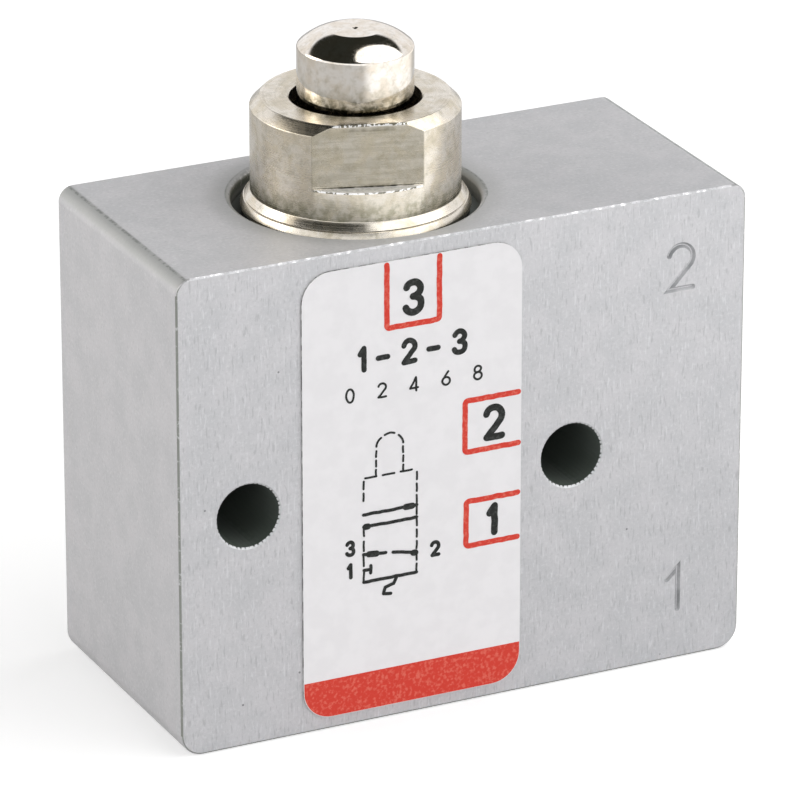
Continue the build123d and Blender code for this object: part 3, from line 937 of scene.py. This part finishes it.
# %% Anodised aluminium: dark holes
hole_gaps = []
for side in (-1, 1):
    offset = add(tree, "CombineXYZ", {
        "X": add(tree, "Math", {0: spot["X"], 1: hole_middle.x + side * hole_half_pitch}, operation="SUBTRACT"),
        "Z": add(tree, "Math", {0: spot["Z"], 1: hole_middle.z}, operation="SUBTRACT")})
    hole_gaps.append(add(tree, "VectorMath", {0: offset}, out="Value", operation="LENGTH"))
from_hole = add(tree, "Math", {0: hole_gaps[0], 1: hole_gaps[1]}, operation="MINIMUM")
at_hole = add(tree, "MapRange", {0: from_hole, 1: hole_radius * 1.2, 2: hole_radius * 1.1}, **soft)
painted_hole_shade = add(tree, "Math", {0: at_hole, 1: add(tree, "MapRange", {0: frontness, 1: 0.35, 2: 0.2}, **soft)},
              **times)
# A pale painted highlight on each hole's broken edge.
painted_hole_rim_highlight = add(tree, "Math", {0: at_hole, 1: tilted}, **times)
color = add(tree, "Mix", {0: add(tree, "Math", {0: painted_hole_rim_highlight, 1: 0.7}, **times), 6: color, 7: linear("#E6E7E8")},
            **colour)
radial = add(tree, "CombineXYZ", {
    "X": add(tree, "Math", {0: spot["X"], 1: axis_x}, operation="SUBTRACT"), "Y": spot["Y"]})
from_axis = add(tree, "VectorMath", {0: radial}, out="Value", operation="LENGTH")
# Painted shade on the wall of the counterbore round the collar.
recess_radius_here = 8.0 * MM
painted_recess_shade = add(tree, "MapRange", {0: from_axis, 1: recess_radius_here * 1.01, 2: recess_radius_here * 0.995},
                **soft)
below_top = add(tree, "MapRange", {0: spot["Z"], 1: block_high.z - 0.15 * MM, 2: block_high.z - 0.45 * MM, 4: 0.8},
                **soft)
painted_recess_shade = add(tree, "Math", {0: painted_recess_shade, 1: below_top}, **times)
# A soft ring of painted shade on the top face round the counterbore.
painted_recess_halo = add(tree, "MapRange", {0: from_axis, 1: recess_radius_here * 1.28, 2: recess_radius_here * 1.04, 4: 0.34}, **soft)
painted_recess_halo = add(tree, "Math", {0: painted_recess_halo, 1: add(tree, "MapRange", {0: facing["Z"], 1: 0.2, 2: 0.5}, **soft)}, **times)
color = add(tree, "Mix", {0: painted_recess_halo, 6: color, 7: linear("#8F928F")}, **colour)
# Painted shade, nearly black, in the holes and on the counterbore's wall.
dark = add(tree, "Math", {0: painted_hole_shade, 1: painted_recess_shade}, operation="MAXIMUM")
color = add(tree, "Mix", {0: add(tree, "Math", {0: dark, 1: 0.94}, **times), 6: color, 7: linear("#3E483F")},
            **colour)
tree.links.new(color, shader.inputs["Base Color"])

# %% Anodised aluminium: sheen and relief
metal_share = add(tree, "MapRange", {0: dark, 3: 0.5, 4: 0.0})
tree.links.new(metal_share, shader.inputs["Metallic"])
dull = add(tree, "MapRange", {0: grain, 1: 0.3, 2: 0.7, 3: 0.5, 4: 0.6}, **soft)
dull = add(tree, "Mix", {0: painted_glint, 2: dull, 3: 0.22}, data_type="FLOAT")
dull = add(tree, "Mix", {0: dark, 2: dull, 3: 0.95}, data_type="FLOAT")
tree.links.new(dull, shader.inputs["Roughness"])
nicked = add(tree, "Math", {0: add(tree, "Math", {0: nicks, 1: edge}, **times), 1: 5.0}, **times)
relief = add(tree, "Math", {0: grain, 1: nicked}, operation="ADD")
relief = add(tree, "Math", {0: relief, 1: dark_scratch}, operation="SUBTRACT")
relief = add(tree, "Math", {0: relief, 1: add(tree, "MapRange", {0: dark, 3: 1.0, 4: 0.0})}, **times)
bump = add(tree, "Bump", {"Height": relief, "Strength": 0.45, "Distance": 0.012 * MM})
tree.links.new(bump, shader.inputs["Normal"])
dress(nodes["body_block"], anodised_aluminium)

# %% [markdown]
# Nickel plating keeps the marks of the tool that turned the brass under it: rings so fine that
# the eye sees only a soft stretch of the highlights. The bath and the handling leave it mottled
# in warm and greenish greys. Bands of painted shade, patchy like the mottles, darken it in the
# corner at the foot of a shoulder and at other given heights. The rings follow the distance from
# the axis and the height, and nothing else.

# %% Nickel plate
def nickel_plate(name, light, warm, dark, sizes, roughness_range, depths, shade_bands=()):
    """Nickel plate on turned brass. The sizes are those of its mottles and rings in millimetres.

    The depths are those of the mottles and rings. Each band of painted shade starts at a height,
    fades out at a second one, stays within a radius, and has a colour and a strength.
    """
    material, tree, shader = new_material(name, Metallic=1.0)
    place = add(tree, "TexCoord", out="Object")
    spot = add(tree, "SeparateXYZ", {0: place}).node.outputs
    across = add(tree, "Math", {0: spot["X"], 1: axis_x}, operation="SUBTRACT")
    radius = add(tree, "VectorMath", {0: add(tree, "CombineXYZ", {"X": across, "Y": spot["Y"]})},
                 out="Value", operation="LENGTH")
    profile = add(tree, "CombineXYZ", {"X": radius, "Z": spot["Z"]})
    rings = add(tree, "TexNoise", {"Vector": profile, "Scale": grains(sizes[1]), "Detail": 2.0})
    stains = add(tree, "TexNoise", {"Vector": place, "Scale": grains(sizes[0]), "Detail": 6.0,
                                    "Roughness": 0.62, "Distortion": 0.4})
    mottles = add(tree, "TexNoise", {"Vector": place, "Scale": grains(sizes[0] * 0.4), "Detail": 4.0,
                                     "Roughness": 0.62, "Distortion": 0.15})
    share = add(tree, "MapRange", {0: stains, 1: 0.38, 2: 0.62}, **soft)
    color = add(tree, "Mix", {0: share, 6: linear(light), 7: linear(warm)}, **colour)
    share = add(tree, "MapRange", {0: mottles, 1: 0.44, 2: 0.76, 4: 0.55}, **soft)
    color = add(tree, "Mix", {0: share, 6: color, 7: linear(dark)}, **colour)
    patchy = add(tree, "MapRange", {0: mottles, 1: 0.35, 2: 0.62, 3: 0.4}, **soft)
    # Each band of painted shade darkens the colour, patchy like the mottles.
    for start, end, reach, shade_color, strength in shade_bands:
        above = add(tree, "MapRange", {0: spot["Z"], 1: (start - 0.06) * MM, 2: start * MM, 4: strength}, **soft)
        below = add(tree, "MapRange", {0: spot["Z"], 1: end * MM, 2: start * MM}, **soft)
        within = add(tree, "MapRange", {0: radius, 1: (reach + 0.1) * MM, 2: reach * MM}, **soft)
        share = add(tree, "Math", {0: above, 1: below}, **times)
        share = add(tree, "Math", {0: share, 1: within}, **times)
        share = add(tree, "Math", {0: share, 1: patchy}, **times)
        color = add(tree, "Mix", {0: share, 6: color, 7: linear(shade_color)}, **colour)
    tree.links.new(color, shader.inputs["Base Color"])
    mixed = add(tree, "Mix", {0: 0.5, 2: stains, 3: rings}, data_type="FLOAT")
    dull = add(tree, "MapRange", {0: mixed, 1: 0.35, 2: 0.65, 3: roughness_range[0], 4: roughness_range[1]}, **soft)
    tree.links.new(dull, shader.inputs["Roughness"])
    dents = add(tree, "Bump", {"Height": mottles, "Strength": 0.7, "Distance": depths[0] * MM})
    bump = add(tree, "Bump", {"Height": rings, "Strength": 0.5, "Distance": depths[1] * MM, "Normal": dents})
    tree.links.new(bump, shader.inputs["Normal"])
    return material


# Painted shade above the flange, in the corner above the ledge, and just below the top on the flats and in the bore.
collar_shade_bands = [(flange_top + 0.06, 34.9, flange_radius, "#8D8A74", 0.85),
                (flat_ledge + 0.02, flat_ledge + 0.3, 6.45, "#1E1C14", 1.0),
                (collar_top - 0.45, collar_top - 0.1, 5.95, "#5A5748", 0.6)]
nickel_plated_brass = nickel_plate("nickel_plated_brass", "#DED7CB", "#D2C8B5", "#A9A28E", (1.5, 0.09),
                                   (0.2, 0.32), (0.01, 0.0025), collar_shade_bands)
dress(guide_collar_turned, nickel_plated_brass)

# %% [markdown]
# The flats are milled, so they are a little darker than the turned barrel. The ledge below them
# is dull and carries a pale painted highlight. Dotted painted glints, white among darker dots, run
# along the top of the flat and along the ledge's outer edge. The distance from the axis in the
# flats' own direction, with the height, tells these places from the rest of the collar.

# %% Milled flats
tree = nickel_plated_brass.node_tree
shader = tree.nodes["Principled BSDF"]
place = add(tree, "TexCoord", out="Object")
height = add(tree, "SeparateXYZ", {0: place}, out="Z")
from_middle = add(tree, "VectorMath", {0: place, 1: (axis_x, 0, 0)}, operation="SUBTRACT")
flat_out = (math.cos(flat_turn), math.sin(flat_turn), 0)
reach = add(tree, "VectorMath", {0: from_middle, 1: flat_out}, out="Value", operation="DOT_PRODUCT")
reach = add(tree, "Math", {0: reach}, operation="ABSOLUTE")


def within(value, start, end, fade):
    """One between two limits in millimetres, with a soft end of a given width on both sides."""
    rise = add(tree, "MapRange", {0: value, 1: (start - fade) * MM, 2: start * MM}, **soft)
    fall = add(tree, "MapRange", {0: value, 1: (end + fade) * MM, 2: end * MM}, **soft)
    return add(tree, "Math", {0: rise, 1: fall}, **times)


def both(first, second):
    """One where two masks are both one."""
    return add(tree, "Math", {0: first, 1: second}, **times)


on_flat = both(within(reach, flat_distance - 0.02, flat_distance + 0.02, 0.02),
               within(height, flat_ledge, collar_top - 0.3, 0.2))
ledge_highlight = both(within(height, flat_ledge - 0.01, flat_ledge + 0.02, 0.02),
                within(reach, flat_distance + 0.12, barrel_radius, 0.05))
# Where the dotted painted glints go: the flat's top and the ledge's outer edge.
flat_top_glints = both(within(height, collar_top - 0.12, collar_top, 0.06),
                within(reach, flat_distance - 0.1, flat_distance, 0.06))
ledge_edge_glints = both(within(height, flat_ledge - 0.1, flat_ledge - 0.03, 0.04),
                  within(reach, flat_distance + 0.05, barrel_radius, 0.05))
milled_edge_glints = add(tree, "Math", {0: flat_top_glints, 1: ledge_edge_glints}, operation="MAXIMUM")

# %% Colour of the milled flats
turned_color = shader.inputs["Base Color"].links[0].from_socket
tool_marks = add(tree, "Mapping", {"Vector": place, "Scale": [grains(3.0), grains(3.0), grains(0.35)]})
tool_marks = add(tree, "TexNoise", {"Vector": tool_marks, "Scale": 1.0, "Detail": 3.0})
milled = add(tree, "MapRange", {0: tool_marks, 1: 0.35, 2: 0.65, 3: 0.3, 4: 0.55}, **soft)
color = add(tree, "Mix", {0: both(on_flat, milled), 6: turned_color, 7: linear("#97917D")}, **colour)
# A pale painted highlight on the ledge.
color = add(tree, "Mix", {0: both(ledge_highlight, 0.9), 6: color, 7: linear("#FFFFFF")}, **colour)
# Dotted painted glints, white among darker dots.
points_noise = add(tree, "TexNoise", {"Vector": place, "Scale": grains(0.24), "Detail": 2.0})
bright_point = add(tree, "MapRange", {0: points_noise, 1: 0.47, 2: 0.55}, **soft)
glint_color = add(tree, "Mix", {0: bright_point, 6: linear("#5A5747"), 7: linear("#FFFFFF")}, **colour)
color = add(tree, "Mix", {0: both(milled_edge_glints, 0.85), 6: color, 7: glint_color}, **colour)
tree.links.new(color, shader.inputs["Base Color"])
turned_dull = shader.inputs["Roughness"].links[0].from_socket
dull = add(tree, "Mix", {0: ledge_highlight, 2: turned_dull, 3: 0.6}, data_type="FLOAT")
tree.links.new(dull, shader.inputs["Roughness"])

# %% Polished plunger
# Two bands of painted shade darken the plunger's foot just above the collar.
plunger_shade_bands = [(collar_top - 0.3, collar_top + 2.3, skirt_radius, "#8A8670", 0.8),
                 (collar_top - 0.1, collar_top + 1.25, skirt_radius, "#2C2B1D", 1.0)]
polished_nickel = nickel_plate("polished_nickel", "#EAE5DE", "#DFD5C7", "#BDB4A3", (1.2, 0.12),
                               (0.05, 0.13), (0.003, 0.0005), plunger_shade_bands)
dress(plunger_turned, polished_nickel)

# %% [markdown]
# The label is a sheet of white vinyl film with a soft gloss. Its cut edge is coloured a speckled
# dark grey, which the eye sees as a thin line at the side that faces it. The inks are matt and a
# little uneven, as a small printing stamp leaves them.

# %% Vinyl film
vinyl_film, tree, shader = new_material("vinyl_film", Roughness=0.42)
place = add(tree, "TexCoord", out="Object")
facing = add(tree, "SeparateXYZ", {0: add(tree, "TexCoord", out="Normal")}).node.outputs
cut_edge = add(tree, "Math", {0: facing["Y"]}, operation="ABSOLUTE")
cut_edge = add(tree, "MapRange", {0: cut_edge, 1: 0.6, 2: 0.3}, **soft)
mottle = add(tree, "TexNoise", {"Vector": place, "Scale": grains(1.1), "Detail": 4.0})
edge_speckle = add(tree, "TexNoise", {"Vector": place, "Scale": grains(0.5), "Detail": 3.0})
mottle = add(tree, "MapRange", {0: mottle, 1: 0.35, 2: 0.65}, **soft)
edge_speckle = add(tree, "MapRange", {0: edge_speckle, 1: 0.42, 2: 0.6}, **soft)
film = add(tree, "Mix", {0: mottle, 6: linear("#ECEAEB"), 7: linear("#E8E6E7")}, **colour)
edge_color = add(tree, "Mix", {0: edge_speckle, 6: linear("#5C5D5A"), 7: linear("#BDBDBB")}, **colour)
color = add(tree, "Mix", {0: cut_edge, 6: film, 7: edge_color}, **colour)
tree.links.new(color, shader.inputs["Base Color"])
dress(nodes["front_label"], vinyl_film)


# %% Inks
def ink(name, full, thin):
    """Printing ink that covers a little unevenly."""
    material, tree, shader = new_material(name, Roughness=0.6)
    shader.inputs["Specular IOR Level"].default_value = 0.3
    cover = add(tree, "TexNoise", {"Vector": add(tree, "TexCoord", out="Object"), "Scale": grains(0.22),
                                   "Detail": 3.0})
    cover = add(tree, "MapRange", {0: cover, 1: 0.45, 2: 0.72}, **soft)
    color = add(tree, "Mix", {0: cover, 6: linear(full), 7: linear(thin)}, **colour)
    tree.links.new(color, shader.inputs["Base Color"])
    return material


dress(label_print_red, ink("red_ink", "#D43D2F", "#DE6857"))
dress(label_print_black, ink("black_ink", "#1E201E", "#3C3E3C"))

# %% [markdown]
# The pieces inside have plain workshop finishes: turned brass for the bushes, ground stainless
# steel for the stem, spring steel for the coils and nitrile rubber for the rings and the disc.

# %% Finishes of the inner pieces
def ground_metal(name, light, dark, ring_size, roughness_range):
    """A bare metal with fine tool marks round its axis."""
    return nickel_plate(name, light, light, dark, (2.0, ring_size), roughness_range, (0.002, 0.003))


turned_brass = ground_metal("turned_brass", "#CDB06A", "#8F7440", 0.1, (0.22, 0.38))
stainless_steel = ground_metal("stainless_steel", "#C6C4C0", "#8E8C88", 0.05, (0.15, 0.25))
spring_steel = ground_metal("spring_steel", "#B9B7B2", "#77746E", 0.05, (0.25, 0.35))
nitrile_rubber, tree, shader = new_material("nitrile_rubber")
shader.inputs["IOR"].default_value = 1.52
bloom = add(tree, "TexNoise", {"Vector": add(tree, "TexCoord", out="Object"), "Scale": grains(0.4), "Detail": 4.0})
bloomed = add(tree, "MapRange", {0: bloom, 1: 0.4, 2: 0.75}, **soft)
color = add(tree, "Mix", {0: bloomed, 6: linear("#1E1F1F"), 7: linear("#2E302F")}, **colour)
tree.links.new(color, shader.inputs["Base Color"])
dull = add(tree, "MapRange", {0: bloom, 1: 0.3, 2: 0.7, 3: 0.5, 4: 0.7}, **soft)
tree.links.new(dull, shader.inputs["Roughness"])
for name in ("seal_retainer", "stem_guide", "spacer_cage", "seat_insert", "poppet_carrier"):
    dress(nodes[name], turned_brass)
dress(nodes["valve_stem"], stainless_steel)
for piece in spring_pieces:
    dress(piece, spring_steel)
for name in ("collar_gasket", "guide_oring", "stem_oring", "seat_oring", "poppet_disc"):
    dress(nodes[name], nitrile_rubber)
